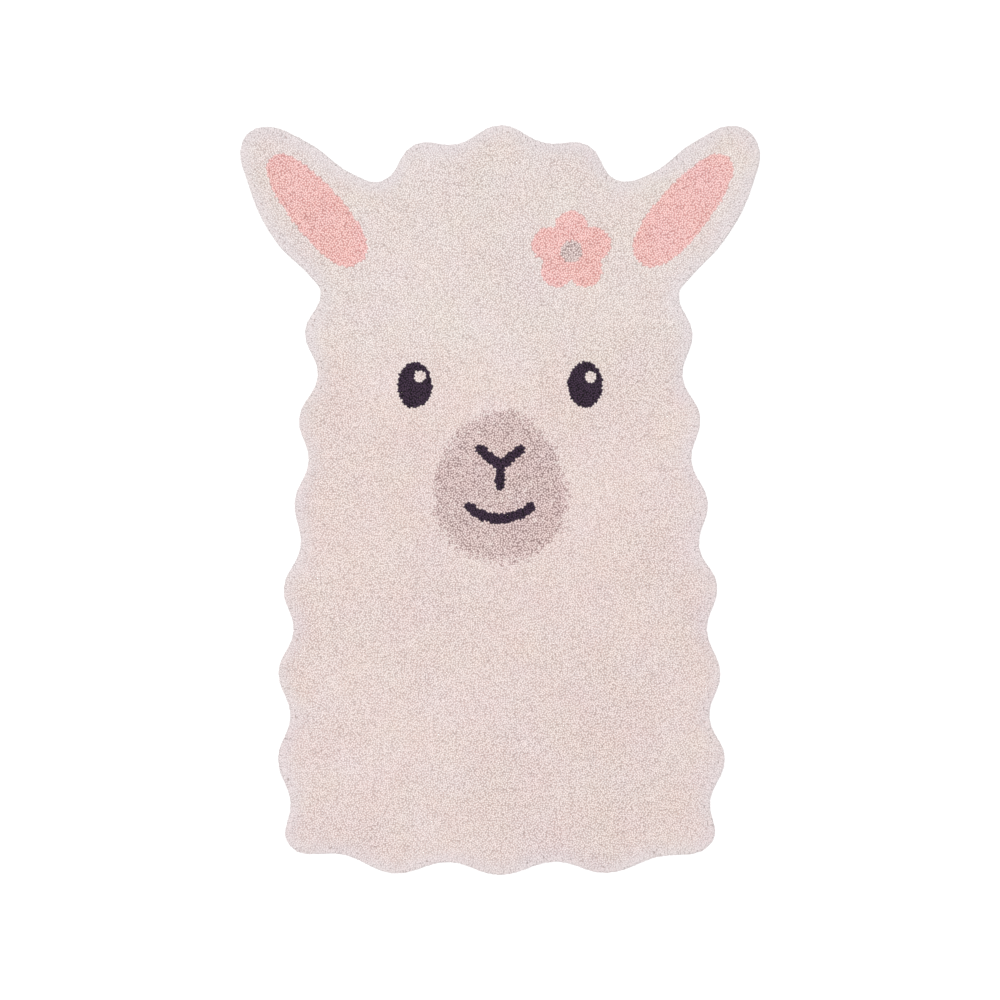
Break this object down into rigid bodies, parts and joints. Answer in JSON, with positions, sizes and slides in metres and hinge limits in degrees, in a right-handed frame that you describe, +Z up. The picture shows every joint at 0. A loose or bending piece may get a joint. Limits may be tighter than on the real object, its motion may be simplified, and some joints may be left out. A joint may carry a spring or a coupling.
{
  "type": "animal shaped kids rug",
  "caption": "Flat tufted cotton rug for a child's room, cut to the outline of a woolly animal's head with long ears and a curly fleece edge.",
  "frame": {"origin": "on the floor under the middle of the rug's bounding box", "axes": "+Z up through the pile, +Y along the rug from the base to the ears, +X across it to the right"},
  "size_m": [1.11, 1.6, 0.0179],
  "materials": {
    "pile": "soft cut cotton pile"
  },
  "bodies": {
    "root": {"rug": "pile"}
  },
  "joints": []
}
